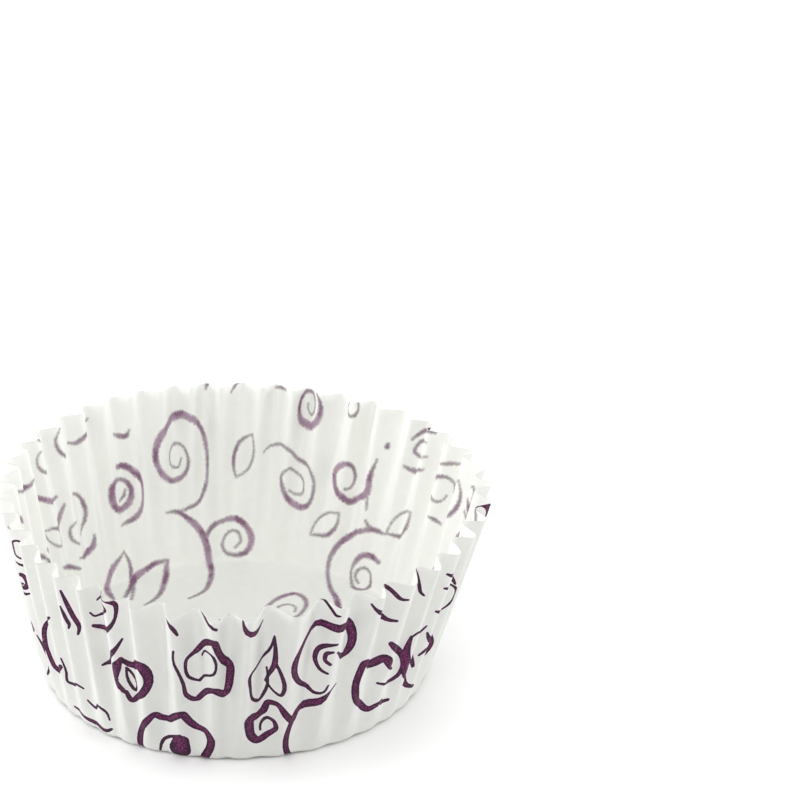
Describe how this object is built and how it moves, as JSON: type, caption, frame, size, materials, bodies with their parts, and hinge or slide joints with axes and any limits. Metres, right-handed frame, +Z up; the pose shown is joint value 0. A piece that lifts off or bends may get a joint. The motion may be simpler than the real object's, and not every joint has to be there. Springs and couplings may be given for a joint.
{
  "type": "paper baking cup",
  "caption": "Shallow round baking cup of thin greaseproof paper with a flat base and a fluted, flaring wall, printed outside with scrolls and leaves.",
  "frame": {"origin": "centre of the flat base, on its underside", "axes": "+Z up, out of the open mouth; +X to the side that the soft wall leans over to"},
  "size_m": [0.0628, 0.0626, 0.025],
  "materials": {
    "greaseproof_paper": "matt, slightly translucent white greaseproof paper, printed outside in dark purple; the print shows faintly through to the inside"
  },
  "bodies": {
    "root": {"paper_cup": "greaseproof_paper"}
  },
  "joints": []
}
